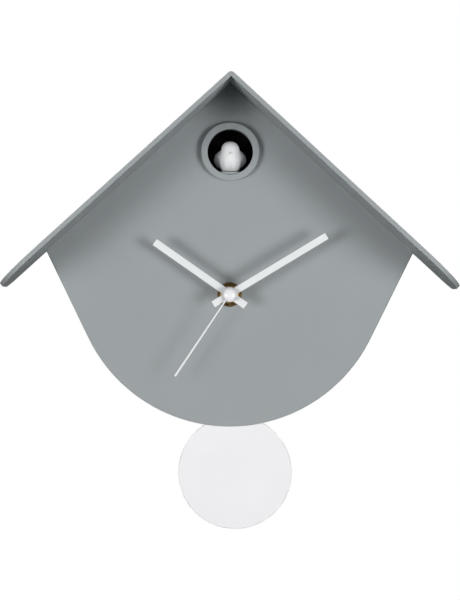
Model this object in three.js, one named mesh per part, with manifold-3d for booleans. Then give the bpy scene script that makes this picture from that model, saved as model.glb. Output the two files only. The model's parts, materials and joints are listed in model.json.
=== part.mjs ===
import * as THREE from 'three';
import { mergeVertices } from 'three/addons/utils/BufferGeometryUtils.js';
import Module from 'manifold-3d';

const wasm = await Module();
wasm.setup();

// Driving dimensions in millimetres. The wall is the plane y = 0, the clock faces -Y and the
// hands turn about x = 0, z = 0.
const ROOF_PITCH = THREE.MathUtils.degToRad(42.47);
const ROOF_APEX_Z = 163.3;
const ROOF_RIDGE_R = 3.2;
const ROOF_HALF_WIDTH = 170.5;
const ROOF_THICK = 3.3;
const ROOF_REAR_Y = -33;
const ROOF_FRONT_Y = -105;
const ROOF_FRONT_CORNER = 36;
const ROOF_REAR_CORNER = 9;
const ROOF_FLANGE_DEPTH = 10;

const FACE_FRONT_Y = -40;
const FACE_THICK = 3;
const FACE_ARC_R = 118.5;
const FACE_ARC_Z = 18.8;
const FACE_SIDE = THREE.MathUtils.degToRad(26.2);
const FACE_EDGE = 0.8;

const HOUSING_INSET = 6;
const HOUSING_WALL = 2.2;
const HOUSING_FLOOR_Z = -78;
const HOUSING_REAR_Y = -5.8;
const GAP = 0.3;

const RING_Z = 107.6;
const RING_HOLE_R = 17.1;
const RING_OUTER_R = 22;
const RING_FRONT_Y = -44.8;
const FLOOR_DROP = 15.1;

const COVER_REAR_Y = -3;
const COVER_FRONT_Y = -5.5;

const PIVOT_Z = -36;
const ROD_Y = -23.7;
const BOB_DROP = 99.1;
const BOB_R = 42.95;
const BOB_LEAN = THREE.MathUtils.degToRad(2.85);

// Clockwise angles of the three hands from twelve.
const HOUR_ANGLE = THREE.MathUtils.degToRad(304.7);
const MINUTE_ANGLE = THREE.MathUtils.degToRad(58.6);
const SECOND_ANGLE = THREE.MathUtils.degToRad(213.5);
const HOUR_HAND_Y = -53.7;
const MINUTE_HAND_Y = -56.3;
const SECOND_HAND_Y = -58.6;
const CAP_Y = -59.9;

const MOTION_AXIS = [-9, 0];
const THIRD_AXIS = [7.71, 9.19];
const STEP_AXIS = [-9.02, -3.28];
const ROTOR_AXIS = [-13.75, -11.46];
const KNOB_AXIS = [-16.8, 4.5];

// Solids.
function toSolid(geometry) {
  const plain = geometry.clone();
  plain.deleteAttribute('normal');
  plain.deleteAttribute('uv');
  const merged = mergeVertices(plain, 1e-4);
  const vertProperties = new Float32Array(merged.attributes.position.array);
  const triVerts = new Uint32Array(merged.index.array);
  return new wasm.Manifold(new wasm.Mesh({ numProp: 3, vertProperties, triVerts }));
}

function toGeometry(solid) {
  const mesh = solid.getMesh();
  const geometry = new THREE.BufferGeometry();
  geometry.setAttribute('position', new THREE.BufferAttribute(new Float32Array(mesh.vertProperties), 3));
  geometry.setIndex(new THREE.BufferAttribute(new Uint32Array(mesh.triVerts), 1));
  geometry.computeVertexNormals();
  return geometry;
}

function shape(points) {
  return new THREE.Shape(points.map((p) => new THREE.Vector2(p[0], p[1])));
}

// A plate whose outline is drawn in x and z, from the rear plane forward to the front plane.
function plate(points, rearY, frontY, edge = 0) {
  const geometry = new THREE.ExtrudeGeometry(shape(points), {
    depth: rearY - frontY - 2 * edge,
    bevelEnabled: edge > 0,
    bevelThickness: edge,
    bevelSize: edge,
    bevelOffset: -edge,
    bevelSegments: 2,
  });
  geometry.rotateX(Math.PI / 2);
  geometry.translate(0, rearY - edge, 0);
  return geometry;
}

function box(x0, x1, y0, y1, z0, z1) {
  const geometry = new THREE.BoxGeometry(Math.abs(x1 - x0), Math.abs(y1 - y0), Math.abs(z1 - z0));
  geometry.translate((x0 + x1) / 2, (y0 + y1) / 2, (z0 + z1) / 2);
  return geometry;
}

function rod(radius, y0, y1, x = 0, z = 0, sides = 24) {
  const geometry = new THREE.CylinderGeometry(radius, radius, Math.abs(y1 - y0), sides);
  geometry.translate(x, (y0 + y1) / 2, z);
  return geometry;
}

function rodX(radius, x0, x1, y, z, sides = 20) {
  const geometry = new THREE.CylinderGeometry(radius, radius, Math.abs(x1 - x0), sides);
  geometry.rotateZ(Math.PI / 2);
  geometry.translate((x0 + x1) / 2, y, z);
  return geometry;
}

function rodZ(radius, z0, z1, x, y, sides = 20) {
  const geometry = new THREE.CylinderGeometry(radius, radius, Math.abs(z1 - z0), sides);
  geometry.rotateX(Math.PI / 2);
  geometry.translate(x, y, (z0 + z1) / 2);
  return geometry;
}

// A turned piece: the profile is a list of [radius, y] going once round a closed section.
function turned(profile, sides = 32, x = 0, z = 0) {
  const points = profile.map((p) => new THREE.Vector2(p[0], p[1]));
  if (THREE.ShapeUtils.area(points) < 0) {
    points.reverse();
  }
  const onAxis = profile[0][0] === 0 && profile[profile.length - 1][0] === 0;
  if (!onAxis) {
    points.push(points[0].clone());
  }
  const geometry = new THREE.LatheGeometry(points, sides);
  geometry.translate(x, 0, z);
  return geometry;
}

function tube(inner, outer, y0, y1, sides = 24, x = 0, z = 0) {
  const low = Math.min(y0, y1);
  const high = Math.max(y0, y1);
  return turned([[inner, low], [outer, low], [outer, high], [inner, high]], sides, x, z);
}

function part(name, geometry, colour, roughness, metalness) {
  const material = new THREE.MeshStandardMaterial({ color: colour, roughness, metalness });
  const mesh = new THREE.Mesh(geometry, material);
  mesh.name = name;
  return mesh;
}

function fused(...geometries) {
  return geometries.map(toSolid).reduce((sum, solid) => sum.add(solid));
}

const GREY = 0xa4a8ab;
const WHITE = 0xf0f1f2;
const BLACK = 0x101112;
const BRASS = 0x8f7440;
const STEEL = 0xb8bcc0;
const GEAR_WHITE = 0xe6e2d6;

// The outline shared by the face, the housing and the back cover, drawn in x and z. The top
// follows the underside of the roof and the sides run down into a round bottom.
const UNDERSIDE_Z = ROOF_APEX_Z - ROOF_THICK / Math.cos(ROOF_PITCH);

function houseOutline(inset, roofGap, floorZ = -1000, steps = 44) {
  const radius = FACE_ARC_R - inset;
  const slope = Math.tan(ROOF_PITCH);
  const topZ = UNDERSIDE_Z - roofGap / Math.cos(ROOF_PITCH);
  const touchX = radius * Math.cos(FACE_SIDE);
  const touchZ = FACE_ARC_Z - radius * Math.sin(FACE_SIDE);
  const run = (topZ - slope * touchX - touchZ) / (Math.cos(FACE_SIDE) + slope * Math.sin(FACE_SIDE));
  const right = [[touchX + run * Math.sin(FACE_SIDE), touchZ + run * Math.cos(FACE_SIDE)]];
  const bottom = Math.PI / 2;
  for (let i = 0; i <= steps / 2; i += 1) {
    const angle = FACE_SIDE + ((bottom - FACE_SIDE) * i) / (steps / 2);
    const x = radius * Math.cos(angle);
    const z = FACE_ARC_Z - radius * Math.sin(angle);
    if (z > floorZ && x > 1e-6) {
      right.push([x, z]);
    }
  }
  if (floorZ > FACE_ARC_Z - radius) {
    right.push([Math.sqrt(radius ** 2 - (FACE_ARC_Z - floorZ) ** 2), floorZ]);
  } else {
    right.push([0, FACE_ARC_Z - radius]);
  }
  const left = right.filter((p) => p[0] > 0).map((p) => [-p[0], p[1]]).reverse();
  return [[0, topZ], ...right, ...left];
}

// Points of a chevron band that lies under the roof, between two depths square to the sheet.
function chevron(near, far, halfWidth) {
  const slope = Math.tan(ROOF_PITCH);
  const nearZ = UNDERSIDE_Z - near / Math.cos(ROOF_PITCH);
  const farZ = UNDERSIDE_Z - far / Math.cos(ROOF_PITCH);
  return [
    [0, nearZ],
    [halfWidth, nearZ - slope * halfWidth],
    [halfWidth, farZ - slope * halfWidth],
    [0, farZ],
    [-halfWidth, farZ - slope * halfWidth],
    [-halfWidth, nearZ - slope * halfWidth],
  ];
}

function flangeScrewPlace(side) {
  const x = side * 78;
  const drop = 6.2 / Math.cos(ROOF_PITCH);
  return [x, UNDERSIDE_Z - Math.abs(x) * Math.tan(ROOF_PITCH) - drop];
}

// The folded roof sheet with rounded front corners and a flange that screws to the face.
function roof() {
  const slope = Math.tan(ROOF_PITCH);
  const length = ROOF_HALF_WIDTH / Math.cos(ROOF_PITCH);
  const endX = ROOF_HALF_WIDTH - ROOF_THICK * Math.sin(ROOF_PITCH);
  const endZ = ROOF_APEX_Z - slope * ROOF_HALF_WIDTH;
  const lowZ = endZ - ROOF_THICK * Math.cos(ROOF_PITCH);
  const ridge = [];
  for (let i = 0; i <= 8; i += 1) {
    const angle = ROOF_PITCH * (i / 4 - 1);
    const centreZ = ROOF_APEX_Z - ROOF_RIDGE_R / Math.cos(ROOF_PITCH);
    ridge.push([ROOF_RIDGE_R * Math.sin(angle), centreZ + ROOF_RIDGE_R * Math.cos(angle)]);
  }
  const section = [
    ...ridge,
    [ROOF_HALF_WIDTH, endZ],
    [endX, lowZ],
    [0, UNDERSIDE_Z],
    [-endX, lowZ],
    [-ROOF_HALF_WIDTH, endZ],
  ];
  const sheet = toSolid(plate(section, ROOF_REAR_Y, ROOF_FRONT_Y));
  const rightWing = toSolid(wingBlank(length));
  const leftWing = rightWing.mirror([1, 0, 0]);
  const flange = toSolid(plate(chevron(-0.5, ROOF_FLANGE_DEPTH, 127), ROOF_REAR_Y, -36.7));
  let solid = sheet.intersect(rightWing.add(leftWing)).add(flange);
  for (const side of [-1, 1]) {
    const [x, z] = flangeScrewPlace(side);
    solid = solid.subtract(toSolid(rod(1.6, -30, -38, x, z)));
  }
  return part('roof', toGeometry(solid), GREY, 0.6, 0);
}

// One thick slab with the rounded corners of a roof side, laid at the roof pitch.
function wingBlank(length) {
  const outline = new THREE.Shape();
  outline.moveTo(-20, ROOF_FRONT_Y - 1);
  outline.lineTo(-20, ROOF_REAR_Y + 1);
  outline.lineTo(length - ROOF_REAR_CORNER, ROOF_REAR_Y + 1);
  outline.absarc(length - ROOF_REAR_CORNER, ROOF_REAR_Y - ROOF_REAR_CORNER, ROOF_REAR_CORNER,
    Math.PI / 2, 0, true);
  outline.lineTo(length, ROOF_FRONT_Y + ROOF_FRONT_CORNER);
  outline.absarc(length - ROOF_FRONT_CORNER, ROOF_FRONT_Y + ROOF_FRONT_CORNER, ROOF_FRONT_CORNER,
    0, -Math.PI / 2, true);
  outline.lineTo(length - ROOF_FRONT_CORNER, ROOF_FRONT_Y - 1);
  const geometry = new THREE.ExtrudeGeometry(outline, { depth: 30, bevelEnabled: false, curveSegments: 12 });
  geometry.translate(0, 0, -20);
  geometry.rotateY(ROOF_PITCH);
  geometry.translate(0, 0, ROOF_APEX_Z);
  return geometry;
}

// The flat recessed face with its softened edge.
function facePanel() {
  const rearY = FACE_FRONT_Y + FACE_THICK;
  let solid = toSolid(plate(houseOutline(0, -5), rearY, FACE_FRONT_Y, FACE_EDGE));
  solid = solid.subtract(toSolid(plate(chevron(-20, GAP, 180), -30, -45)));
  solid = solid.subtract(toSolid(rod(19.3, -30, -45, 0, RING_Z, 48)));
  solid = solid.subtract(toSolid(rod(4.3, -30, -45)));
  for (const side of [-1, 1]) {
    const [x, z] = flangeScrewPlace(side);
    solid = solid.subtract(toSolid(rod(1.35, -36, rearY - 2.2, x, z)));
  }
  return part('face_panel', toGeometry(solid), GREY, 0.62, 0);
}

function flangeScrew(index, side) {
  const [x, z] = flangeScrewPlace(side);
  return panScrew(`roof_screw_${index}`, x, z, -32.7, -39, 1.15, 2.7);
}

// A pan head screw whose head sits to the rear of the seat plane and whose shank runs forward.
function panScrew(name, x, z, seatY, tipY, shankR, headR) {
  const profile = [
    [0, tipY],
    [shankR * 0.6, tipY],
    [shankR, tipY + 0.6],
    [shankR, seatY],
    [headR, seatY],
    [headR, seatY + 0.9],
    [headR * 0.7, seatY + 1.6],
    [0, seatY + 1.6],
  ];
  const solid = toSolid(turned(profile, 16, x, z));
  const slotA = toSolid(box(x - 1.3, x + 1.3, seatY + 0.8, seatY + 2, z - 0.3, z + 0.3));
  const slotB = toSolid(box(x - 0.3, x + 0.3, seatY + 0.8, seatY + 2, z - 1.3, z + 1.3));
  return part(name, toGeometry(solid.subtract(slotA).subtract(slotB)), STEEL, 0.35, 1);
}

const BOSS_PLACES = [[126, 31], [-126, 31], [45, -72], [-45, -72]];

// The deep shell behind the face, open to the front and to the rear.
function housingShell() {
  const outer = toSolid(plate(houseOutline(HOUSING_INSET, GAP, HOUSING_FLOOR_Z), HOUSING_REAR_Y, -36.7));
  const innerPoints = houseOutline(HOUSING_INSET + HOUSING_WALL, GAP + HOUSING_WALL,
    HOUSING_FLOOR_Z + HOUSING_WALL);
  const inner = toSolid(plate(innerPoints, 0, -40));
  let solid = outer.subtract(inner);
  for (const [x, z] of BOSS_PLACES) {
    solid = solid.add(toSolid(rod(4.5, HOUSING_REAR_Y, -28, x, z, 20)).intersect(outer));
    solid = solid.subtract(toSolid(rod(1.5, 0, -20, x, z, 16)));
  }
  solid = solid.subtract(toSolid(plate(chevron(-1, ROOF_FLANGE_DEPTH + GAP, 135), -32.7, -38)));
  solid = solid.subtract(toSolid(box(-11, 11, -28.5, -18.5, -82, -70)));
  return part('housing_shell', toGeometry(solid), 0x9a9ea1, 0.62, 0);
}

const VOLUME_PLACE = [-75, 5];
const SWITCH_PLACE = [-54, 5];
const CELL_XS = [47.2, 62.3];
const DOOR_HINGE_Z = -29.4;

// The rear plate: wall rim and centre rib, keyhole, speaker grille and openings for controls.
function backCover() {
  const outline = houseOutline(HOUSING_INSET, GAP, HOUSING_FLOOR_Z);
  const rim = houseOutline(HOUSING_INSET + 2.6, GAP + 2.6, HOUSING_FLOOR_Z + 2.6);
  let solid = toSolid(plate(outline, 0, COVER_FRONT_Y));
  solid = solid.subtract(toSolid(plate(rim, 1, COVER_REAR_Y)));
  solid = solid.add(toSolid(box(-5, 5, COVER_REAR_Y - 1, 0, -34, 26)));
  solid = solid.subtract(toSolid(rod(4.5, 1, -8, 0, 75, 28)));
  solid = solid.subtract(toSolid(box(-2.3, 2.3, 1, -8, 75, 83)));
  solid = solid.subtract(toSolid(rod(2.3, 1, -8, 0, 83, 20)));
  solid = solid.subtract(toSolid(rod(9, 1, -8, KNOB_AXIS[0], KNOB_AXIS[1], 28)));
  solid = solid.subtract(toSolid(rod(6.6, 1, -8, VOLUME_PLACE[0], VOLUME_PLACE[1], 28)));
  solid = solid.subtract(toSolid(box(-60.5, -47.5, 1, -8, 1.8, 8.2)));
  for (let row = -3; row <= 3; row += 1) {
    const z = 50 + row * 4.6;
    const half = Math.sqrt(17 ** 2 - (row * 4.6) ** 2);
    solid = solid.subtract(toSolid(box(-half, half, 1, -8, z - 1.1, z + 1.1)));
  }
  solid = solid.subtract(toSolid(box(38.3, 71.2, 1, -8, -31.3, 29.8)));
  solid = solid.subtract(toSolid(rodX(0.85, 36.7, 72.8, -4.25, DOOR_HINGE_Z, 12)));
  for (const [x, z] of BOSS_PLACES) {
    solid = solid.subtract(toSolid(rod(1.6, 1, -8, x, z, 16)));
    solid = solid.subtract(toSolid(rod(3.2, 1, COVER_REAR_Y, x, z, 20)));
  }
  return part('back_cover', toGeometry(solid), 0x2c2e30, 0.7, 0);
}

function batteryDoor() {
  const leaf = box(38.8, 70.7, -5.5, -3, -30.6, 29.3);
  let solid = fused(leaf, rodX(0.55, 37, 72.5, -4.25, DOOR_HINGE_Z, 12));
  for (let i = 0; i < 4; i += 1) {
    solid = solid.subtract(toSolid(box(47, 62.5, -3.6, -2, 14 + i * 3, 15.4 + i * 3)));
  }
  return part('battery_door', toGeometry(solid), 0x2c2e30, 0.7, 0);
}

function batteryTray() {
  const outer = toSolid(box(38, 71.5, -22, -6.6, -32, 32));
  const inner = toSolid(box(39.5, 70, -20.5, -5, -30.5, 30.5));
  return part('battery_tray', toGeometry(outer.subtract(inner)), BLACK, 0.7, 0);
}

function batteryCell(index, x) {
  const up = index === 1 ? 1 : -1;
  const profile = [
    [0, -25],
    [6.4, -25],
    [7.05, -24.4],
    [7.05, 23.2],
    [6.5, 24],
    [2.7, 24],
    [2.7, 25.4],
    [0, 25.4],
  ];
  const geometry = turned(profile, 24);
  geometry.rotateX(up > 0 ? Math.PI / 2 : -Math.PI / 2);
  geometry.translate(x, -13.1, 0);
  return part(`battery_cell_${index}`, geometry, 0x3d6b4f, 0.35, 0.4);
}

function contactSpring(index, x) {
  const up = index === 1 ? 1 : -1;
  const profile = [
    [0, -25.4],
    [2.6, -25.4],
    [2.6, -26.6],
    [3.6, -26.9],
    [3.6, -28.1],
    [4.8, -28.4],
    [4.8, -29.9],
    [0, -29.9],
  ];
  const geometry = turned(profile, 16);
  geometry.rotateX(up > 0 ? Math.PI / 2 : -Math.PI / 2);
  geometry.translate(x, -13.1, 0);
  return part(`contact_spring_${index}`, geometry, STEEL, 0.3, 1);
}

// The raised ring round the bird hole, with a sleeve that passes through the face.
function birdRing() {
  const profile = [
    [RING_HOLE_R, -35],
    [RING_HOLE_R, RING_FRONT_Y + 0.4],
    [17.5, RING_FRONT_Y],
    [21.4, RING_FRONT_Y],
    [21.8, RING_FRONT_Y + 0.2],
    [RING_OUTER_R, RING_FRONT_Y + 0.6],
    [RING_OUTER_R, -40.3],
    [19, -40.3],
    [19, -35],
  ];
  return part('bird_ring', turned(profile, 48, 0, RING_Z), GREY, 0.6, 0);
}

function birdChamber() {
  const profile = [
    [0, -8],
    [17.4, -8],
    [17.4, -34.7],
    [19.4, -34.7],
    [19.4, -6],
    [0, -6],
  ];
  const cup = toSolid(turned(profile, 40, 0, RING_Z));
  const slot = toSolid(box(-2.4, 2.4, -33.4, -8.6, RING_Z - 22, RING_Z - 14));
  return part('bird_chamber', toGeometry(cup.subtract(slot)), BLACK, 0.85, 0);
}

const FLOOR_Z = RING_Z - FLOOR_DROP;
const BIRD_Y = -37.7;
const WING_Y = -30;

function birdBodySolid(grow) {
  const profile = [
    [0, 0],
    [6.2 + grow, 0],
    [7.3 + grow, 2.8],
    [7.75 + grow, 6.2],
    [7.6 + grow, 9.4],
    [7.2 + grow, 13.2],
    [7 + grow, 15.8],
    [6.6 + grow, 18.2],
    [5.5 + grow, 20.5],
    [3.4 + grow, 22.1],
    [1.6 + grow, 22.7],
    [0, 22.9 + grow],
  ];
  const geometry = turned(profile, 28);
  geometry.rotateX(Math.PI / 2);
  geometry.translate(0, BIRD_Y, FLOOR_Z + GAP);
  return geometry;
}

function birdBody() {
  return part('bird_body', birdBodySolid(0), WHITE, 0.45, 0);
}

// The folded wings are the two halves of one round back, hollowed to fit behind the body.
function birdWing(name, side) {
  const ball = new THREE.SphereGeometry(1, 24, 16);
  ball.scale(12.3, 7, 9);
  ball.translate(0, WING_Y, FLOOR_Z + 9.6);
  const half = toSolid(box(side * 0.15, side * 15, -45, -20, FLOOR_Z, FLOOR_Z + 20));
  const solid = toSolid(ball).intersect(half).subtract(toSolid(birdBodySolid(GAP)));
  return part(name, toGeometry(solid), WHITE, 0.45, 0);
}

function birdBeak() {
  const geometry = new THREE.ConeGeometry(1, 1.8, 14);
  geometry.rotateX(Math.PI);
  geometry.translate(0, BIRD_Y - 7.3 - GAP - 0.9, FLOOR_Z + 13.9);
  return part('beak', geometry, 0xd8b35a, 0.5, 0);
}

// Gear outlines. The phase turns the first tooth to the given angle.
function gearPoints(teeth, module, phase, ease = 1) {
  const pitch = (teeth * module) / 2;
  const tip = pitch + 0.85 * module * ease;
  const root = pitch - 1.2 * module;
  const step = (2 * Math.PI) / teeth;
  const points = [];
  for (let i = 0; i < teeth; i += 1) {
    const centre = phase + i * step;
    points.push([root * Math.cos(centre - 0.29 * step), root * Math.sin(centre - 0.29 * step)]);
    points.push([tip * Math.cos(centre - 0.1 * step), tip * Math.sin(centre - 0.1 * step)]);
    points.push([tip * Math.cos(centre + 0.1 * step), tip * Math.sin(centre + 0.1 * step)]);
    points.push([root * Math.cos(centre + 0.29 * step), root * Math.sin(centre + 0.29 * step)]);
  }
  return points;
}

function angleTo(from, to) {
  return Math.atan2(to[1] - from[1], to[0] - from[0]);
}

// A driving wheel points a tooth at its mate; the mate shows the gap between two teeth.
function gapAt(teeth, angle) {
  return angle + Math.PI / teeth;
}

const CENTRE = [0, 0];

function hourWheel() {
  const phase = gapAt(32, angleTo(CENTRE, MOTION_AXIS));
  const gear = plate(gearPoints(32, 0.45, phase), -32.2, -33);
  let solid = fused(gear, rod(2.5, -32.6, HOUR_HAND_Y - 0.9, 0, 0, 24));
  solid = solid.subtract(toSolid(rod(1.95, -30, HOUR_HAND_Y - 2, 0, 0, 24)));
  return part('hour_wheel', toGeometry(solid), GEAR_WHITE, 0.5, 0);
}

function motionWheel() {
  const angle = angleTo(MOTION_AXIS, CENTRE);
  const wheel = plate(gearPoints(30, 0.45, angle), -31, -31.8);
  const pinion = plate(gearPoints(8, 0.45, angle), -31.5, -33);
  let solid = fused(wheel, pinion, rod(0.6, -30.8, -33.8, 0, 0, 12));
  solid = solid.translate([MOTION_AXIS[0], 0, MOTION_AXIS[1]]);
  return part('motion_wheel', toGeometry(solid), GEAR_WHITE, 0.5, 0);
}

function centreWheel() {
  const wheel = plate(gearPoints(64, 1 / 3, gapAt(64, angleTo(CENTRE, THIRD_AXIS))), -29.6, -30.4);
  const cannon = plate(gearPoints(10, 0.45, gapAt(10, angleTo(CENTRE, MOTION_AXIS))), -30, -31.8);
  let solid = fused(wheel, cannon, rod(1.6, -31, MINUTE_HAND_Y - 0.9, 0, 0, 24));
  solid = solid.subtract(toSolid(rod(0.95, -28, MINUTE_HAND_Y - 2, 0, 0, 16)));
  return part('centre_wheel', toGeometry(solid), BRASS, 0.35, 1);
}

function thirdWheel() {
  const angle = angleTo(THIRD_AXIS, CENTRE);
  const wheel = plate(gearPoints(60, 12 / 34, gapAt(60, angle)), -27.8, -28.6);
  const pinion = plate(gearPoints(8, 1 / 3, angle), -28.2, -30.6);
  let solid = fused(wheel, pinion, rod(0.5, -27, -31.2, 0, 0, 12));
  solid = solid.translate([THIRD_AXIS[0], 0, THIRD_AXIS[1]]);
  return part('third_wheel', toGeometry(solid), GEAR_WHITE, 0.5, 0);
}

function secondWheel() {
  const wheel = plate(gearPoints(50, 0.32, gapAt(50, angleTo(CENTRE, STEP_AXIS))), -26, -26.8);
  const pinion = plate(gearPoints(8, 12 / 34, angleTo(CENTRE, THIRD_AXIS)), -26.4, -28.8);
  const solid = fused(wheel, pinion, rod(0.55, -25.6, SECOND_HAND_Y - 1, 0, 0, 16));
  return part('second_wheel', toGeometry(solid), GEAR_WHITE, 0.5, 0);
}

function stepWheel() {
  const pinion = plate(gearPoints(10, 0.32, angleTo(STEP_AXIS, CENTRE)), -24.8, -27);
  const wheel = plate(gearPoints(60, 0.27, gapAt(60, angleTo(STEP_AXIS, ROTOR_AXIS))), -24.4, -25.2);
  let solid = fused(wheel, pinion, rod(0.5, -23.8, -27.6, 0, 0, 12));
  solid = solid.translate([STEP_AXIS[0], 0, STEP_AXIS[1]]);
  return part('step_wheel', toGeometry(solid), GEAR_WHITE, 0.5, 0);
}

function rotor() {
  const pinion = plate(gearPoints(10, 0.27, angleTo(ROTOR_AXIS, STEP_AXIS)), -23.4, -25.4);
  let solid = fused(pinion, rod(3, -22, -23.7, 0, 0, 20), rod(0.5, -21.3, -26, 0, 0, 12));
  solid = solid.translate([ROTOR_AXIS[0], 0, ROTOR_AXIS[1]]);
  return part('rotor', toGeometry(solid), 0x3a3b3d, 0.45, 0.6);
}

function stator() {
  const leaf = toSolid(box(-24, 11, -22.5, -23.3, -19.6, -6));
  const hole = toSolid(rod(3.5, -20, -26, ROTOR_AXIS[0], ROTOR_AXIS[1], 24));
  const wheelSeat = toSolid(rod(1.2, -20, -26, STEP_AXIS[0], STEP_AXIS[1], 16));
  return part('stator', toGeometry(leaf.subtract(hole).subtract(wheelSeat)), STEEL, 0.4, 1);
}

function driveCoil() {
  const geometry = rodX(3, -14, 6, -25.6, -23.3, 24);
  return part('step_coil', geometry, 0xa8552a, 0.4, 0.8);
}

function movementBoard() {
  return part('movement_board', box(13.5, 26, -25.2, -26, -19, 3), 0x2c5a3c, 0.5, 0.1);
}

// The square two-part case of the clock movement.
function caseFront() {
  const shell = toSolid(box(-28, 28, -35.6, -28, -28, 28));
  const hollow = toSolid(box(-26.7, 26.7, -34.3, -20, -26.7, 26.7));
  const bush = toSolid(rod(4.3, -30, -40));
  return part('movement_case_front', toGeometry(shell.subtract(hollow).subtract(bush)), BLACK, 0.6, 0);
}

function caseRear() {
  const shell = toSolid(box(-28, 28, -27.7, -19.6, -28, 28));
  const hollow = toSolid(box(-26.7, 26.7, -30, -20.9, -26.7, 26.7));
  const stem = toSolid(rod(1.4, -18, -24, KNOB_AXIS[0], KNOB_AXIS[1], 16));
  return part('movement_case_rear', toGeometry(shell.subtract(hollow).subtract(stem)), BLACK, 0.6, 0);
}

function settingKnob() {
  const angle = angleTo(KNOB_AXIS, MOTION_AXIS);
  const pinion = plate(gearPoints(10, 0.45, gapAt(10, angle) + KNOB_PHASE), -31, -31.8);
  const grip = plate(gearPoints(24, 0.52, 0), -8, -18.6);
  let solid = fused(pinion, rod(0.9, -18, -32.4, 0, 0, 12), grip);
  solid = solid.translate([KNOB_AXIS[0], 0, KNOB_AXIS[1]]);
  return part('setting_knob', toGeometry(solid), 0xd8d8d4, 0.55, 0);
}

// The motion wheel shows a tooth toward the centre; this is its tooth offset toward the knob.
const MOTION_STEP = (2 * Math.PI) / 30;
const KNOB_SIDE = angleTo(MOTION_AXIS, KNOB_AXIS) - angleTo(MOTION_AXIS, CENTRE);
const KNOB_OFFSET = KNOB_SIDE - Math.round(KNOB_SIDE / MOTION_STEP) * MOTION_STEP;
const KNOB_PHASE = KNOB_OFFSET * 3;

function brassBush() {
  const profile = [
    [2.9, -33.5],
    [2.9, -47],
    [3.6, -47],
    [4, -46.6],
    [4, -34.1],
    [6.5, -34.1],
    [6.5, -33.5],
  ];
  return part('brass_bush', turned(profile, 28), BRASS, 0.35, 1);
}

function faceWasher() {
  return part('face_washer', tube(4.3, 9.3, -40.3, -41.2, 40), BRASS, 0.4, 1);
}

function hexNut() {
  const points = [];
  for (let i = 0; i < 6; i += 1) {
    points.push([6.4 * Math.cos((i * Math.PI) / 3), 6.4 * Math.sin((i * Math.PI) / 3)]);
  }
  const solid = toSolid(plate(points, -41.5, -44.3)).subtract(toSolid(rod(4.25, -40, -46, 0, 0, 28)));
  return part('hex_nut', toGeometry(solid), BRASS, 0.35, 1);
}

// A plain strip hand with a round eye, pointing at twelve before it is turned.
function hand(name, tip, tail, root, end, eyeR, boreR, rearY, thick, angle) {
  const frontY = rearY - thick;
  const outline = [[-root / 2, -tail], [root / 2, -tail], [end / 2, tip], [-end / 2, tip]];
  let solid = fused(plate(outline, rearY, frontY), rod(eyeR, rearY, frontY, 0, 0, 28));
  if (boreR > 0) {
    solid = solid.subtract(toSolid(rod(boreR, 0, -80, 0, 0, 24)));
  }
  const mesh = part(name, toGeometry(solid), WHITE, 0.5, 0);
  mesh.rotation.y = angle;
  return mesh;
}

function hubCap() {
  const profile = [
    [0, CAP_Y - 2.5],
    [2.2, CAP_Y - 2.3],
    [4, CAP_Y - 1.6],
    [5.1, CAP_Y - 0.4],
    [5.1, CAP_Y],
    [0, CAP_Y],
  ];
  return part('hub_cap', turned(profile, 28), 0xf6f6f6, 0.2, 0);
}

// The slide that carries the bird: a floor that fits the bottom of the hole, with a rack below.
function birdSlide() {
  const radius = 16.8;
  const half = Math.asin(Math.sqrt(radius ** 2 - FLOOR_DROP ** 2) / radius);
  const outline = [];
  for (let i = 0; i <= 10; i += 1) {
    const angle = -Math.PI / 2 - half + (2 * half * i) / 10;
    outline.push([radius * Math.cos(angle), RING_Z + radius * Math.sin(angle)]);
  }
  const floor = plate(outline, -9, RING_FRONT_Y + 0.5);
  const bar = box(-1.8, 1.8, -9, -20, RING_Z - 20.2, RING_Z - 16);
  let solid = fused(floor, bar);
  const pitch = Math.PI * 0.8;
  for (let i = 0; i < 4; i += 1) {
    const y = -19.2 + i * pitch;
    solid = solid.add(toSolid(rackTooth(y)));
  }
  return part('bird_slide', toGeometry(solid), 0x8d9194, 0.6, 0);
}

function rackTooth(y) {
  const profile = new THREE.Shape([
    new THREE.Vector2(y - 0.2, 0.5),
    new THREE.Vector2(y - 0.85, 0.2),
    new THREE.Vector2(y - 0.85, 0),
    new THREE.Vector2(y - 0.35, -1.5),
    new THREE.Vector2(y + 0.35, -1.5),
    new THREE.Vector2(y + 0.85, 0),
    new THREE.Vector2(y + 0.85, 0.2),
    new THREE.Vector2(y + 0.2, 0.5),
  ]);
  const geometry = new THREE.ExtrudeGeometry(profile, { depth: 3.6, bevelEnabled: false });
  geometry.rotateX(Math.PI / 2);
  geometry.rotateZ(Math.PI / 2);
  geometry.translate(0, 0, RING_Z - 20.2);
  return geometry;
}

const PINION_Y = -21;
const PINION_Z = RING_Z - 21 - 4;
const PINION_PHASE = Math.PI / 2 + 1.8 / 4 + Math.PI / 10;

function drivePinion() {
  const gear = plate(gearPoints(10, 0.8, PINION_PHASE), 1.8, -1.8);
  const solid = fused(gear, rod(1, 4, -8.6, 0, 0, 14));
  const geometry = toGeometry(solid);
  geometry.rotateZ(-Math.PI / 2);
  geometry.translate(0, PINION_Y, PINION_Z);
  return part('drive_pinion', geometry, GEAR_WHITE, 0.5, 0);
}

function birdMotor() {
  const bracket = box(-20, -10, -36.7, -22, PINION_Z - 5, PINION_Z + 5);
  let solid = fused(rodX(6, -24, -6.4, PINION_Y, PINION_Z, 28), bracket);
  solid = solid.subtract(toSolid(rodX(1.35, -9.2, -4, PINION_Y, PINION_Z, 16)));
  return part('bird_motor', toGeometry(solid), STEEL, 0.35, 0.9);
}

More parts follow.
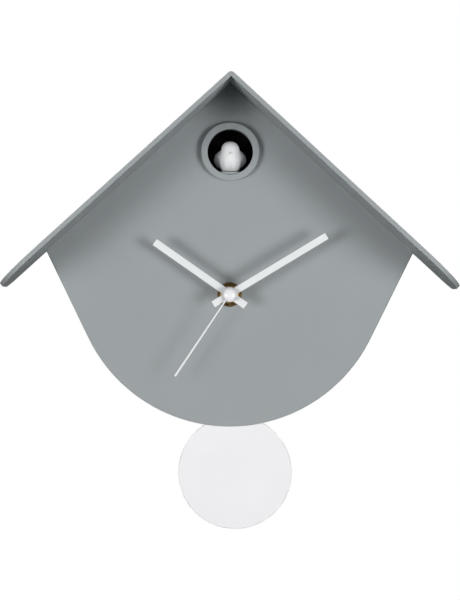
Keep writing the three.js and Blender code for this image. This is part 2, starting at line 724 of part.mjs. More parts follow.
function speakerFrame() {
  const profile = [
    [4.5, -14],
    [11, -14],
    [18.4, -7.6],
    [20, -7.4],
    [20, -5.8],
    [17.2, -5.8],
    [17.2, -7],
    [10.4, -12.9],
    [4.5, -12.9],
  ];
  return part('speaker_frame', turned(profile, 32, 0, 50), 0x34373a, 0.5, 0.7);
}

function speakerCone() {
  const profile = [
    [0, -12.4],
    [9.6, -12.4],
    [16.6, -6.8],
    [16.6, -6.3],
    [9.2, -11.6],
    [4, -11],
    [0, -10.4],
  ];
  return part('speaker_cone', turned(profile, 32, 0, 50), 0x1b1b1c, 0.8, 0);
}

function speakerMagnet() {
  return part('speaker_magnet', rod(10, -14.3, -20, 0, 50, 28), 0x6c6f72, 0.4, 0.9);
}

function soundBoard() {
  return part('sound_board', box(-90, -38, -10.4, -12, -15, 25), 0x2c5a3c, 0.5, 0.1);
}

function volumeKnob() {
  const outline = gearPoints(26, 0.42, 0);
  const geometry = plate(outline, -1, -10.1);
  geometry.translate(VOLUME_PLACE[0], 0, VOLUME_PLACE[1]);
  const slot = toSolid(box(VOLUME_PLACE[0] - 0.6, VOLUME_PLACE[0] + 0.6, -1.8, 0, VOLUME_PLACE[1], 12));
  return part('volume_knob', toGeometry(toSolid(geometry).subtract(slot)), 0x46494c, 0.6, 0);
}

function modeSwitch() {
  const [x, z] = SWITCH_PLACE;
  const solid = fused(box(x - 4.5, x + 4.5, -7.2, -10.1, z - 2.6, z + 2.6), box(x - 2, x + 2, -1.2, -8, z - 2.2, z + 2.2));
  return part('mode_switch', toGeometry(solid), 0xd8d8d4, 0.5, 0);
}

// The pendulum bracket carries the pivot pin and the small coil that keeps the pendulum moving.
function pendulumBracket() {
  let solid = fused(box(-13, 13, -36.7, -35.2, -72, -29.5), rod(4, -30, -35.4, 0, PIVOT_Z, 24));
  solid = solid.subtract(toSolid(rod(1.3, -25, -34, 0, PIVOT_Z, 16)));
  return part('pendulum_bracket', toGeometry(solid), BLACK, 0.6, 0);
}

function pivotPin() {
  const profile = [
    [0, -33.6],
    [1, -33.6],
    [1, -21.8],
    [2.2, -21.8],
    [2.2, -20.8],
    [0, -20.8],
  ];
  return part('pivot_pin', turned(profile, 16, 0, PIVOT_Z), STEEL, 0.3, 1);
}

function keeperCoil() {
  return part('keeper_coil', tube(2, 7, -34.9, -29.2, 28, 0, PIVOT_Z - 26), 0xa8552a, 0.4, 0.8);
}

// The pendulum is drawn hanging plumb from its pivot at the local origin.
function pendulumHanger() {
  let solid = fused(rod(3.6, -22.2, -25.2, 0, 0, 24), box(-2.2, 2.2, -22.9, -24.5, -40, 0));
  solid = solid.add(toSolid(box(-4, 4, -21, -26.4, -42, -30)));
  solid = solid.subtract(toSolid(rod(1.3, -18, -28, 0, 0, 20)));
  solid = solid.subtract(toSolid(rodZ(1.8, -50, -32.4, 0, ROD_Y, 20)));
  return part('pendulum_hanger', toGeometry(solid), WHITE, 0.5, 0);
}

function pendulumMagnet() {
  return part('pendulum_magnet', rod(3.5, -24.8, -27.4, 0, -26, 20), 0x6c6f72, 0.35, 0.9);
}

function pendulumRod() {
  return part('pendulum_rod', rodZ(1.5, -32.7, -101, 0, ROD_Y, 16), STEEL, 0.3, 1);
}

function pendulumBob() {
  const profile = [
    [0, -30],
    [BOB_R - 0.7, -30],
    [BOB_R - 0.2, -29.8],
    [BOB_R, -29.2],
    [BOB_R, -27],
    [BOB_R - 0.5, -26.4],
    [0, -26.4],
  ];
  const disc = toSolid(turned(profile, 64, 0, -BOB_DROP));
  const boss = toSolid(box(-5, 5, -21, -27, -BOB_DROP - 6, -BOB_DROP + 12));
  const bore = toSolid(rodZ(1.8, -BOB_DROP - 2.6, -60, 0, ROD_Y, 20));
  return part('pendulum_bob', toGeometry(disc.add(boss).subtract(bore)), WHITE, 0.4, 0);
}

function pendulum() {
  const group = new THREE.Group();
  group.name = 'pendulum';
  group.add(pendulumHanger(), pendulumMagnet(), pendulumRod(), pendulumBob());
  group.position.set(0, 0, PIVOT_Z);
  group.rotation.y = -BOB_LEAN;
  return group;
}

const clock = new THREE.Group();
clock.name = 'cuckoo_clock';
clock.add(facePanel(), roof(), flangeScrew(1, -1), flangeScrew(2, 1));
clock.add(housingShell(), backCover(), batteryDoor(), batteryTray());
BOSS_PLACES.forEach(([x, z], i) => {
  clock.add(panScrew(`cover_screw_${i + 1}`, x, z, COVER_REAR_Y + 0.3, -17, 1.25, 2.8));
});
CELL_XS.forEach((x, i) => {
  clock.add(batteryCell(i + 1, x), contactSpring(i + 1, x));
});
clock.add(birdRing(), birdChamber(), birdBody(), birdWing('wing_left', -1), birdWing('wing_right', 1));
clock.add(birdBeak(), birdSlide(), drivePinion(), birdMotor());
clock.add(speakerFrame(), speakerCone(), speakerMagnet(), soundBoard(), volumeKnob(), modeSwitch());
clock.add(caseFront(), caseRear(), brassBush(), faceWasher(), hexNut(), settingKnob());
clock.add(hourWheel(), motionWheel(), centreWheel(), thirdWheel(), secondWheel(), stepWheel());
clock.add(rotor(), stator(), driveCoil(), movementBoard());
clock.add(hand('hour_hand', 68.5, 14.7, 5.4, 5.4, 5, 2.8, HOUR_HAND_Y, 0.6, HOUR_ANGLE));
clock.add(hand('minute_hand', 84.8, 14.4, 5.1, 5.1, 5.6, 1.9, MINUTE_HAND_Y, 0.6, MINUTE_ANGLE));
clock.add(hand('second_hand', 73.5, 0, 1, 1.6, 3.2, 0.85, SECOND_HAND_Y, 0.5, SECOND_ANGLE));
clock.add(hubCap());
clock.add(pendulumBracket(), pivotPin(), keeperCoil(), pendulum());

export default clock;
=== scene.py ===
import json
import math

import bmesh
import bpy
from mathutils import Matrix, Vector


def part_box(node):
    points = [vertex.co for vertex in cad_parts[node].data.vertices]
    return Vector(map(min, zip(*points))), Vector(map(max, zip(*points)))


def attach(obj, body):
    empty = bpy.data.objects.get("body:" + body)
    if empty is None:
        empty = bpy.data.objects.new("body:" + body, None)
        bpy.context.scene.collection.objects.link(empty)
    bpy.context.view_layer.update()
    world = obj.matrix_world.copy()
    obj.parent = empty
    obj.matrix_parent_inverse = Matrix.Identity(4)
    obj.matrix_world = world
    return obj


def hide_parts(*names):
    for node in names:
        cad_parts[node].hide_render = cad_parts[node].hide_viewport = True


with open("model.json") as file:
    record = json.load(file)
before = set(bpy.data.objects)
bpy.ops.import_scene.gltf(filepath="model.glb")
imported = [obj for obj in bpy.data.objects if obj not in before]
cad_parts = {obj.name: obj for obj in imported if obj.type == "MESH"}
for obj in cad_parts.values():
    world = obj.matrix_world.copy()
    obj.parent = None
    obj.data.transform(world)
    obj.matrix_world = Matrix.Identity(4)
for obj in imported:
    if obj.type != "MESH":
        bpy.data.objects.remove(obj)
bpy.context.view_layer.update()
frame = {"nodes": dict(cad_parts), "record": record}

MM = 0.001

CAMERA_PLACE = (-0.010, -1.765, -0.0042)
CAMERA_LENS = 137.1
CAMERA_ROLL = math.radians(0.3)
CAMERA_SHIFT = 0.0229

ROOF_PITCH = math.radians(42.47)
FLOOR_Z = -0.75
SIDE_SOFTBOX = (1.16, -1.36, -0.22)
BACK_SOFTBOX = (1.1, 1.5, 0.7)
RING_HOLE = 17.1
WING_HALF_SIZE = (12.3, 7, 9)
WING_Y = -30

NODES = frame["nodes"]
BODY_OF = {n: b for b, ns in frame["record"]["behaviour"]["bodies"].items() for n in ns}


# ---------------------------------------------------------------- camera, floor and light

def place_camera():
    data = bpy.data.cameras.new("studio_camera")
    camera = bpy.data.objects.new("studio_camera", data)
    bpy.context.collection.objects.link(camera)
    data.lens = CAMERA_LENS
    data.sensor_width = 36
    data.clip_end = 30
    data.shift_x = CAMERA_SHIFT
    camera.matrix_world = (
        Matrix.Translation(CAMERA_PLACE)
        @ Matrix.Rotation(math.radians(90), 4, "X")
        @ Matrix.Rotation(CAMERA_ROLL, 4, "Z")
    )
    bpy.context.scene.camera = camera


def softbox(name, position, width, height, watts):
    """A rectangular lamp turned toward the hands' axis."""
    data = bpy.data.lights.new(name, "AREA")
    data.shape = "RECTANGLE"
    data.size, data.size_y = width, height
    data.energy = watts
    light = bpy.data.objects.new(name, data)
    light.location = position
    light.rotation_mode = "QUATERNION"
    light.rotation_quaternion = (-Vector(position)).to_track_quat("-Z", "Y")
    bpy.context.collection.objects.link(light)


def studio_air():
    """White to the camera, nearly dark to everything the softboxes are meant to light."""
    world = bpy.data.worlds.new("studio_air")
    world.use_nodes = True
    tree = world.node_tree
    air = tree.nodes["Background"]
    air.inputs["Color"].default_value = (1, 1, 1, 1)
    seen = tree.nodes.new("ShaderNodeLightPath").outputs["Is Camera Ray"]
    tree.links.new(spread(tree, seen, 0, 1, 0.005, 1.0), air.inputs["Strength"])
    bpy.context.scene.world = world


def paper_floor():
    sheet = bmesh.new()
    bmesh.ops.create_grid(sheet, x_segments=1, y_segments=1, size=2.6)
    bmesh.ops.translate(sheet, verts=sheet.verts, vec=(0, 0, FLOOR_Z))
    mesh = bpy.data.meshes.new("paper_floor")
    sheet.to_mesh(mesh)
    sheet.free()
    paper = bpy.data.objects.new("paper_floor", mesh)
    bpy.context.collection.objects.link(paper)
    material, tree, shader, where = blank("paper_white")
    shader.inputs["Roughness"].default_value = 0.9
    shader.inputs["Emission Color"].default_value = (1, 1, 1, 1)
    seen = tree.nodes.new("ShaderNodeLightPath").outputs["Is Camera Ray"]
    fibre = spread(tree, noise(tree, where, 90.0), 0.3, 0.7)
    pale = mix(tree, fibre, (0.84, 0.84, 0.84), (0.9, 0.9, 0.9))
    tree.links.new(mix(tree, seen, (0.06, 0.06, 0.06), pale), shader.inputs["Base Color"])
    tree.links.new(spread(tree, seen, 0, 1, 0.0, 0.9), shader.inputs["Emission Strength"])
    mesh.materials.append(material)


def studio():
    bpy.context.scene.view_settings.view_transform = "Standard"
    studio_air()
    paper_floor()
    for name, side, watts in (("softbox_left", -1, 18.2), ("softbox_right", 1, 19.5)):
        across, y, z = SIDE_SOFTBOX
        softbox(name, (side * across, y, z), 0.66, 0.66, watts)
    softbox("softbox_front", (0, -1.8, 0), 2.4, 0.5, 2.0)
    for name, side in (("softbox_back_left", -1), ("softbox_back_right", 1)):
        across, y, z = BACK_SOFTBOX
        softbox(name, (side * across, y, z), 0.9, 0.9, 16.0)
    softbox("softbox_above", (0, -0.1, 1.7), 1.2, 1.2, 9.0)


# ---------------------------------------------------------------- shared finish effects

def group_of(name, inputs, outputs):
    tree = bpy.data.node_groups.new(name, "ShaderNodeTree")
    for label, kind, value in inputs:
        socket = tree.interface.new_socket(label, in_out="INPUT", socket_type=kind)
        if value is not None:
            socket.default_value = value
    for label, kind in outputs:
        tree.interface.new_socket(label, in_out="OUTPUT", socket_type=kind)
    return tree, tree.nodes.new("NodeGroupInput"), tree.nodes.new("NodeGroupOutput")


def noise(tree, vector, scale, detail=3.0, rough=0.5):
    node = tree.nodes.new("ShaderNodeTexNoise")
    node.inputs["Detail"].default_value = detail
    node.inputs["Roughness"].default_value = rough
    tree.links.new(vector, node.inputs["Vector"])
    if isinstance(scale, (int, float)):
        node.inputs["Scale"].default_value = scale
    else:
        tree.links.new(scale, node.inputs["Scale"])
    return node.outputs["Fac"]


def math_node(tree, operation, a, b=None, clamp=False):
    node = tree.nodes.new("ShaderNodeMath")
    node.operation = operation
    node.use_clamp = clamp
    for socket, value in zip(node.inputs, (a, b)):
        if value is None:
            continue
        if isinstance(value, (int, float)):
            socket.default_value = value
        else:
            tree.links.new(value, socket)
    return node.outputs[0]


def length_of(tree, across, along):
    """The length of a line from its two legs."""
    first = math_node(tree, "MULTIPLY", across, across)
    second = math_node(tree, "MULTIPLY", along, along)
    return math_node(tree, "SQRT", math_node(tree, "ADD", first, second))


def spread(tree, value, low, high, out_low=0.0, out_high=1.0):
    node = tree.nodes.new("ShaderNodeMapRange")
    node.inputs["From Min"].default_value = low
    node.inputs["From Max"].default_value = high
    node.inputs["To Min"].default_value = out_low
    node.inputs["To Max"].default_value = out_high
    tree.links.new(value, node.inputs["Value"])
    return node.outputs["Result"]


def moulded_grain_group():
    """Fine spark-eroded grain with a slow drift of tone and roughness across the moulding."""
    tree, given, out = group_of(
        "moulded_grain",
        [("Vector", "NodeSocketVector", None), ("Grain Scale", "NodeSocketFloat", 1800.0)],
        [(label, "NodeSocketFloat") for label in ("Height", "Drift", "Fleck")],
    )
    fine = noise(tree, given.outputs["Vector"], given.outputs["Grain Scale"], 2.0, 0.6)
    coarse_scale = math_node(tree, "MULTIPLY", given.outputs["Grain Scale"], 0.23)
    coarse = noise(tree, given.outputs["Vector"], coarse_scale, 3.0, 0.55)
    half = math_node(tree, "MULTIPLY", coarse, 0.6)
    tree.links.new(math_node(tree, "ADD", fine, half), out.inputs["Height"])
    drift = noise(tree, given.outputs["Vector"], 14.0, 4.0, 0.6)
    tree.links.new(spread(tree, drift, 0.3, 0.7), out.inputs["Drift"])
    tree.links.new(spread(tree, fine, 0.35, 0.65), out.inputs["Fleck"])
    return tree


def settled_dust_group():
    """Dust that lies on upward faces, broken up by a soft cloud pattern."""
    tree, given, out = group_of(
        "settled_dust", [("Vector", "NodeSocketVector", None)], [("Mask", "NodeSocketFloat")]
    )
    geometry = tree.nodes.new("ShaderNodeNewGeometry")
    split = tree.nodes.new("ShaderNodeSeparateXYZ")
    tree.links.new(geometry.outputs["Normal"], split.inputs[0])
    up = spread(tree, split.outputs["Z"], 0.35, 0.95)
    cloud = spread(tree, noise(tree, given.outputs["Vector"], 60.0, 5.0, 0.65), 0.4, 0.75)
    tree.links.new(math_node(tree, "MULTIPLY", up, cloud), out.inputs["Mask"])
    return tree


def turning_marks_group():
    """Concentric tool marks round the Y axis of the hands."""
    tree, given, out = group_of(
        "turning_marks",
        [("Vector", "NodeSocketVector", None), ("Pitch", "NodeSocketFloat", 9000.0)],
        [(label, "NodeSocketFloat") for label in ("Height", "Tarnish", "Radius")],
    )
    split = tree.nodes.new("ShaderNodeSeparateXYZ")
    tree.links.new(given.outputs["Vector"], split.inputs[0])
    radius = length_of(tree, split.outputs["X"], split.outputs["Z"])
    wave = math_node(tree, "SINE", math_node(tree, "MULTIPLY", radius, given.outputs["Pitch"]))
    blot = noise(tree, given.outputs["Vector"], 520.0, 5.0, 0.7)
    tree.links.new(radius, out.inputs["Radius"])
    height = math_node(tree, "ADD", math_node(tree, "MULTIPLY", wave, 0.3), blot)
    tree.links.new(height, out.inputs["Height"])
    tree.links.new(spread(tree, blot, 0.35, 0.65), out.inputs["Tarnish"])
    return tree


GRAIN = moulded_grain_group()
DUST = settled_dust_group()
TURNING = turning_marks_group()


def blank(name):
    material = bpy.data.materials.new(name)
    material.use_nodes = True
    tree = material.node_tree
    shader = tree.nodes["Principled BSDF"]
    where = tree.nodes.new("ShaderNodeTexCoord").outputs["Object"]
    return material, tree, shader, where


def use_group(tree, group, where, **values):
    node = tree.nodes.new("ShaderNodeGroup")
    node.node_tree = group
    tree.links.new(where, node.inputs["Vector"])
    for label, value in values.items():
        node.inputs[label.replace("_", " ")].default_value = value
    return node


def mix(tree, factor, first, second):
    node = tree.nodes.new("ShaderNodeMix")
    node.data_type = "RGBA"
    if isinstance(factor, (int, float)):
        node.inputs["Factor"].default_value = factor
    else:
        tree.links.new(factor, node.inputs["Factor"])
    for socket, colour in ((node.inputs["A"], first), (node.inputs["B"], second)):
        if isinstance(colour, tuple):
            socket.default_value = (*colour, 1)
        else:
            tree.links.new(colour, socket)
    return node.outputs["Result"]


def bump(tree, shader, height, strength, distance):
    node = tree.nodes.new("ShaderNodeBump")
    node.inputs["Strength"].default_value = strength
    node.inputs["Distance"].default_value = distance
    tree.links.new(height, node.inputs["Height"])
    tree.links.new(node.outputs["Normal"], shader.inputs["Normal"])


def plastic(name, deep, light, rough=(0.5, 0.62), grain=1800.0, relief=0.35, dust=0.25, gloss=0.4):
    """Moulded plastic: two close tones that drift, a fine grain and a little dust on top."""
    material, tree, shader, where = blank(name)
    moulded = use_group(tree, GRAIN, where, Grain_Scale=grain)
    dusty = use_group(tree, DUST, where)
    tone = mix(tree, moulded.outputs["Drift"], deep, light)
    flecked = mix(tree, math_node(tree, "MULTIPLY", moulded.outputs["Fleck"], 0.12), tone, light)
    veil = math_node(tree, "MULTIPLY", dusty.outputs["Mask"], dust)
    tree.links.new(mix(tree, veil, flecked, (0.55, 0.54, 0.52)), shader.inputs["Base Color"])
    tree.links.new(
        spread(tree, moulded.outputs["Drift"], 0, 1, rough[0], rough[1]), shader.inputs["Roughness"]
    )
    shader.inputs["Specular IOR Level"].default_value = gloss
    bump(tree, shader, moulded.outputs["Height"], relief, 0.00006)
    return material


def metal(name, deep, light, rough=(0.25, 0.42), streak=900.0, relief=0.25):
    """Plated metal with faint cloudy tarnish and fine scratches."""
    material, tree, shader, where = blank(name)
    cloudy = noise(tree, where, 160.0, 5.0, 0.6)
    fine = noise(tree, where, streak, 3.0, 0.6)
    tree.links.new(
        mix(tree, spread(tree, cloudy, 0.35, 0.65), deep, light), shader.inputs["Base Color"]
    )
    tree.links.new(spread(tree, fine, 0.3, 0.7, rough[0], rough[1]), shader.inputs["Roughness"])
    shader.inputs["Metallic"].default_value = 1.0
    bump(tree, shader, fine, relief, 0.00003)
    return material


def brass_tarnish_glint_and_shade():
    """Brass with tarnish mottling: the nut at the middle painted bright as a painted highlight, the
    washer round it nearly brown, partly tarnish and partly painted shade.
    """
    material, tree, shader, where = blank("brass_tarnish_glint_and_shade")
    turned = use_group(tree, TURNING, where)
    tarnish = turned.outputs["Tarnish"]
    # painted shade: the washer's colour is kept near brown to stand for the shade it lies in,
    # mottled by the tarnish.
    washer = mix(tree, tarnish, (0.024, 0.013, 0.006), (0.36, 0.24, 0.1))
    # painted highlight: the nut's colour is made bright to stand for the glints on its facets.
    nut = mix(tree, tarnish, (0.38, 0.24, 0.085), (0.95, 0.7, 0.3))
    outside = spread(tree, turned.outputs["Radius"], 0.0063, 0.0069)
    tree.links.new(mix(tree, outside, nut, washer), shader.inputs["Base Color"])
    tree.links.new(spread(tree, tarnish, 0, 1, 0.45, 0.24), shader.inputs["Roughness"])
    shader.inputs["Metallic"].default_value = 1.0
    bump(tree, shader, turned.outputs["Height"], 0.5, 0.0001)
    return material


def bird_paint_with_painted_shade():
    """White paint on the body, with painted shade: grey on the wings for the shade deep in the
    hole, and darker towards the foot for the shade there.
    """
    material, tree, shader, where = blank("bird_white")
    moulded = use_group(tree, GRAIN, where, Grain_Scale=1200.0)
    split = tree.nodes.new("ShaderNodeSeparateXYZ")
    tree.links.new(where, split.inputs[0])
    low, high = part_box("bird_body")
    foot, axis_y, waist = low.z, (low.y + high.y) / 2, (high.x - low.x) / 2
    behind = math_node(tree, "SUBTRACT", split.outputs["Y"], axis_y)
    from_axis = length_of(tree, split.outputs["X"], behind)
    # painted shade: the wings sit deeper in the hole than the body, so they are painted grey to
    # stand for the shade there.
    wing_painted_shade = spread(tree, from_axis, waist + 0.0001, waist + 0.0006)
    # painted shade: the body is painted darker towards the foot to stand for the shade round it.
    out_of_painted_foot_shade = spread(tree, split.outputs["Z"], foot - 0.001, foot + 0.0085)
    paint = mix(tree, moulded.outputs["Drift"], (0.86, 0.865, 0.87), (0.91, 0.915, 0.92))
    white = mix(tree, out_of_painted_foot_shade, (0.36, 0.36, 0.365), paint)
    tree.links.new(mix(tree, wing_painted_shade, white, (0.72, 0.72, 0.725)), shader.inputs["Base Color"])
    tree.links.new(
        spread(tree, moulded.outputs["Drift"], 0, 1, 0.42, 0.52), shader.inputs["Roughness"]
    )
    bump(tree, shader, moulded.outputs["Height"], 0.2, 0.00006)
    return material


def wound_copper(name, axis):
    """Enamelled wire laid in tight turns; the wires run round the given axis."""
    material, tree, shader, where = blank(name)
    split = tree.nodes.new("ShaderNodeSeparateXYZ")
    tree.links.new(where, split.inputs[0])
    wave = math_node(tree, "SINE", math_node(tree, "MULTIPLY", split.outputs[axis], 26000.0))
    strand = spread(tree, wave, -1, 1)
    tree.links.new(
        mix(tree, strand, (0.16, 0.04, 0.012), (0.62, 0.2, 0.06)), shader.inputs["Base Color"]
    )
    shader.inputs["Metallic"].default_value = 0.9
    shader.inputs["Roughness"].default_value = 0.35
    bump(tree, shader, strand, 0.7, 0.00012)
    return material


def lacquered_board():
    """Green solder mask over a faint pattern of tracks."""
    material, tree, shader, where = blank("lacquered_board")
    tracks = tree.nodes.new("ShaderNodeTexBrick")
    turn = tree.nodes.new("ShaderNodeMapping")
    turn.inputs["Rotation"].default_value = (math.radians(90), 0, 0)
    tree.links.new(where, turn.inputs["Vector"])
    tree.links.new(turn.outputs["Vector"], tracks.inputs["Vector"])
    tracks.inputs["Scale"].default_value = 260.0
    tracks.inputs["Color1"].default_value = (0.016, 0.085, 0.032, 1)
    tracks.inputs["Color2"].default_value = (0.02, 0.11, 0.042, 1)
    tracks.inputs["Mortar"].default_value = (0.045, 0.2, 0.085, 1)
    tracks.inputs["Mortar Size"].default_value = 0.03
    tree.links.new(tracks.outputs["Color"], shader.inputs["Base Color"])
    shader.inputs["Roughness"].default_value = 0.3
    bump(tree, shader, tracks.outputs["Fac"], 0.3, 0.00005)
    return material


def cell_jacket():
    """A battery's printed sleeve: green body with a copper-coloured shoulder."""
    material, tree, shader, where = blank("cell_jacket")
    split = tree.nodes.new("ShaderNodeSeparateXYZ")
    tree.links.new(where, split.inputs[0])
    height = math_node(tree, "ABSOLUTE", split.outputs["Z"])
    band = spread(tree, height, 0.0145, 0.0150)
    speck = noise(tree, where, 700.0)
    body = mix(tree, spread(tree, speck, 0.3, 0.7), (0.02, 0.1, 0.045), (0.03, 0.14, 0.06))
    tree.links.new(mix(tree, band, body, (0.55, 0.42, 0.25)), shader.inputs["Base Color"])
    tree.links.new(spread(tree, band, 0, 1, 0.28, 0.36), shader.inputs["Roughness"])
    shader.inputs["Metallic"].default_value = 0.6
    return material


FINISH = {
    "case_grey": plastic(
        "case_grey", (0.320, 0.345, 0.355), (0.337, 0.363, 0.373), (0.56, 0.66), relief=0.1),
    "cover_grey": plastic(
        "cover_grey", (0.035, 0.037, 0.04), (0.047, 0.05, 0.053), (0.5, 0.64), 1500),
    "chamber_black": plastic(
        "chamber_black", (0.006, 0.006, 0.006), (0.01, 0.01, 0.01), (0.7, 0.85),
        gloss=0.15, dust=0.0),
    "hand_white": plastic(
        "hand_white", (0.8, 0.82, 0.83), (0.84, 0.86, 0.865), (0.35, 0.5), 1500, 0.2, 0.0),
    "bird_white": bird_paint_with_painted_shade(),
    "gloss_white": plastic(
        "gloss_white", (0.885, 0.885, 0.9), (0.92, 0.92, 0.935), (0.16, 0.24), 900, 0.08, 0.05),
    "beak_yellow": plastic("beak_yellow", (0.86, 0.84, 0.8), (0.9, 0.88, 0.84), (0.4, 0.5)),
    "antique_brass": brass_tarnish_glint_and_shade(),
    "bright_steel": metal("bright_steel", (0.42, 0.43, 0.44), (0.62, 0.63, 0.65)),
    "dark_metal": metal("dark_metal", (0.07, 0.075, 0.08), (0.13, 0.135, 0.14), (0.35, 0.5)),
    "gear_ivory": plastic(
        "gear_ivory", (0.68, 0.64, 0.54), (0.76, 0.72, 0.62), (0.42, 0.55), 1400, 0.25, 0.05),
    "board_green": lacquered_board(),
    "copper_winding": wound_copper("copper_winding", "X"),
    "cell_jacket": cell_jacket(),
}
SLOT_OF = {s["node"]: s["material_slot"] for s in frame["record"]["subparts"]}


# ---------------------------------------------------------------- making pieces

def finish_piece(name, mesh_data, node_or_body, finish, smooth=35.0, replaced=()):
    mesh = bpy.data.meshes.new(name)
    mesh_data.normal_update()
    mesh_data.to_mesh(mesh)
    mesh_data.free()
    for face in mesh.polygons:
        face.use_smooth = True
    mesh.set_sharp_from_angle(angle=math.radians(smooth))
    mesh.materials.append(FINISH[finish])
    piece = bpy.data.objects.new(name, mesh)
    bpy.context.collection.objects.link(piece)
    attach(piece, BODY_OF.get(node_or_body, node_or_body))
    if replaced:
        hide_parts(*replaced)
    weighted = piece.modifiers.new("flat_faces", "WEIGHTED_NORMAL")
    weighted.weight = 100
    weighted.keep_sharp = True
    return piece


def merged_copy(node):
    shape = bmesh.new()
    shape.from_mesh(NODES[node].data)
    bmesh.ops.remove_doubles(shape, verts=shape.verts, dist=0.00002)
    bmesh.ops.dissolve_limit(
        shape, angle_limit=math.radians(1.0), verts=shape.verts, edges=shape.edges
    )
    return shape


def softened(node, edge=0.25, corner=35.0, segments=2, smooth=50.0):
    """A merged copy of a node whose hard edges are broken with a small round."""
    shape = merged_copy(node)
    if edge > 0:
        hard = [
            e for e in shape.edges
            if len(e.link_faces) == 2 and e.calc_face_angle(0) > math.radians(corner)
        ]
        bmesh.ops.bevel(
            shape, geom=hard, offset=edge * MM, offset_type="OFFSET", affect="EDGES",
            segments=segments, profile=0.5, material=-1, clamp_overlap=True,
        )
    return finish_piece(f"{node}_finished", shape, node, SLOT_OF[node], smooth, (node,))


def spun(name, node, profile, finish, steps=96, centre=(0, 0), smooth=40.0, axis="Y"):
    """A turned piece from a closed [radius, along] profile in millimetres."""
    shape = bmesh.new()
    verts = []
    for radius, along in profile:
        if axis == "Y":
            verts.append(shape.verts.new((radius * MM, along * MM, 0)))
        else:
            verts.append(shape.verts.new((radius * MM, 0, along * MM)))
    edges = [shape.edges.new(pair) for pair in zip(verts, verts[1:])]
    if profile[0][0] > 0:
        edges.append(shape.edges.new((verts[-1], verts[0])))
    direction = (0, 1, 0) if axis == "Y" else (0, 0, 1)
    bmesh.ops.spin(
        shape, geom=verts + edges, cent=(0, 0, 0), axis=direction,
        angle=math.radians(360), steps=steps, use_merge=True,
    )
    bmesh.ops.remove_doubles(shape, verts=shape.verts, dist=0.0000005)
    bmesh.ops.recalc_face_normals(shape, faces=shape.faces)
    first, second = (value * MM for value in centre)
    offset = (first, 0, second) if axis == "Y" else (first, second, 0)
    bmesh.ops.translate(shape, verts=shape.verts, vec=offset)
    return finish_piece(name, shape, node, finish, smooth, (node,))


# ---------------------------------------------------------------- the clock's own pieces

def ring_round_the_hole():
    low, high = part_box("bird_ring")
    z = (low.z + high.z) / 2 / MM
    outer, front = (high.x - low.x) / 2 / MM, low.y / MM
    hole, soft = RING_HOLE, 0.45
    profile = [(hole, -35.0)]
    for i in range(6):
        angle = math.radians(90 * i / 5)
        profile.append((hole + soft * (1 - math.cos(angle)), front + soft * (1 - math.sin(angle))))
    for i in range(6):
        angle = math.radians(90 * i / 5)
        profile.append((outer - soft * (1 - math.sin(angle)), front + soft * (1 - math.cos(angle))))
    profile += [(outer, -40.3), (19.0, -40.3), (19.0, -35.0)]
    spun("bird_ring_turned", "bird_ring", profile, "case_grey", 128, (0, z))


def folded_wing(node):
    """One half of the round back, cut off flat at the middle."""
    low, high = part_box(node)
    side = 1 if high.x > 0.005 else -1
    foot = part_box("bird_body")[0].z
    shape = bmesh.new()
    bmesh.ops.create_uvsphere(shape, u_segments=64, v_segments=40, radius=1.0)
    bmesh.ops.scale(shape, verts=shape.verts, vec=[half * MM for half in WING_HALF_SIZE])
    bmesh.ops.translate(shape, verts=shape.verts, vec=(0, WING_Y * MM, foot + 9.3 * MM))
    cut = bmesh.ops.bisect_plane(
        shape, geom=shape.verts[:] + shape.edges[:] + shape.faces[:],
        plane_co=(side * 0.15 * MM, 0, 0), plane_no=(side, 0, 0), clear_inner=True,
    )
    rim = [g for g in cut["geom_cut"] if isinstance(g, bmesh.types.BMEdge)]
    bmesh.ops.contextual_create(shape, geom=rim)
    bmesh.ops.recalc_face_normals(shape, faces=shape.faces)
    finish_piece(f"{node}_finished", shape, node, "bird_white", 60, (node,))


def bird():
    low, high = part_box("bird_body")
    foot, y = low.z / MM, (low.y + high.y) / 2 / MM
    height = (high.z - low.z) / MM
    profile = [(0, foot), (5.8, foot), (6.4, foot + 0.3)]
    outline = [(6.9, 1.3), (7.3, 2.8), (7.6, 4.4), (7.75, 6.2), (7.7, 8.2), (7.5, 10.2),
               (7.3, 12.2), (7.15, 14.2), (7.0, 15.8), (6.8, 17.6), (6.2, 19.4), (5.2, 20.9),
               (3.9, 21.9), (2.6, 22.5), (1.2, 22.83)]
    profile += [(r, foot + z * height / 22.9) for r, z in outline] + [(0, foot + height)]
    body = spun("bird_body_turned", "bird_body", profile, "bird_white", 64, (0, y), 60, "Z")
    level = body.modifiers.new("rounding", "SUBSURF")
    level.levels = level.render_levels = 1
    for node in ("wing_left", "wing_right"):
        folded_wing(node)
    softened("beak", 0.12)


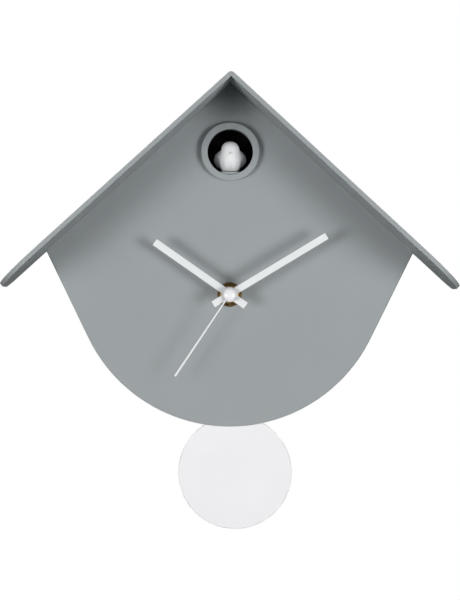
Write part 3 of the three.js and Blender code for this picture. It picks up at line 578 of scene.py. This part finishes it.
def hub():
    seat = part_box("hub_cap")[1].y / MM
    dome = [(0, 2.5), (1.2, 2.45), (2.3, 2.25), (3.3, 1.9), (4.1, 1.45), (4.7, 0.9), (5.02, 0.4),
            (5.1, 0.15), (5.0, 0), (0, 0)]
    cap = [(radius, seat - rise) for radius, rise in dome]
    spun("hub_cap_turned", "hub_cap", cap, "gloss_white", 72, smooth=60)
    thread = [(2.9, -33.5), (2.9, -46.7), (3.1, -47.0), (3.5, -47.0)]
    for turn in range(17):
        crest = -46.6 + turn * 0.5
        thread += [(3.98, crest), (3.98, crest + 0.08), (3.68, crest + 0.25), (3.68, crest + 0.3)]
    thread += [(4.0, -37.9), (4.0, -34.1), (6.5, -34.1), (6.5, -33.5)]
    spun("brass_bush_turned", "brass_bush", thread, "antique_brass", 56)
    spun("face_washer_turned", "face_washer", [
        (4.3, -40.3), (4.3, -41.05), (4.45, -41.2), (6.4, -41.2), (6.6, -41.05), (6.9, -41.05),
        (7.1, -41.2), (9.05, -41.2), (9.22, -41.12), (9.3, -40.95), (9.3, -40.42), (9.18, -40.3)],
        "antique_brass", 96)
    softened("hex_nut", 0.3)


def face_up_to_the_roof():
    """The face copy whose gable edges are carried up to touch the underside of the roof."""
    shape = merged_copy("face_panel")
    square = Vector((math.sin(ROOF_PITCH), 0, math.cos(ROOF_PITCH)))
    ridge = max(v.co.z for v in shape.verts)
    gable = [
        v for v in shape.verts
        if Vector((abs(v.co.x), 0, v.co.z - ridge)).dot(square) > -0.05 * MM
    ]
    bmesh.ops.translate(shape, verts=gable, vec=(0, 0, 0.28 * MM / math.cos(ROOF_PITCH)))
    finish_piece("face_panel_finished", shape, "face_panel", "case_grey", 50, ("face_panel",))


studio()
place_camera()
ring_round_the_hole()
bird()
hub()
face_up_to_the_roof()
softened("roof", 0.8, corner=50, segments=4, smooth=50)
for node in ("hour_hand", "minute_hand", "second_hand"):
    softened(node, 0.12, corner=50)
softened("pendulum_bob", 0, smooth=50)
softened("bird_slide", 0.2, corner=50)
for node in ("housing_shell", "back_cover", "battery_door", "volume_knob", "mode_switch"):
    softened(node, 0.3 if node != "volume_knob" else 0.12, corner=50)
for node in ("setting_knob", "pendulum_rod", "pendulum_hanger", "bird_chamber", "bird_motor",
             "speaker_frame", "speaker_cone", "speaker_magnet", "cover_screw_1", "cover_screw_2",
             "cover_screw_3", "cover_screw_4", "roof_screw_1", "roof_screw_2", "battery_cell_1",
             "battery_cell_2", "pendulum_magnet", "keeper_coil", "step_coil", "pivot_pin", "rotor"):
    softened(node, 0, smooth=40)
for name, node in NODES.items():
    node.data.materials.clear()
    node.data.materials.append(FINISH[SLOT_OF[name]])
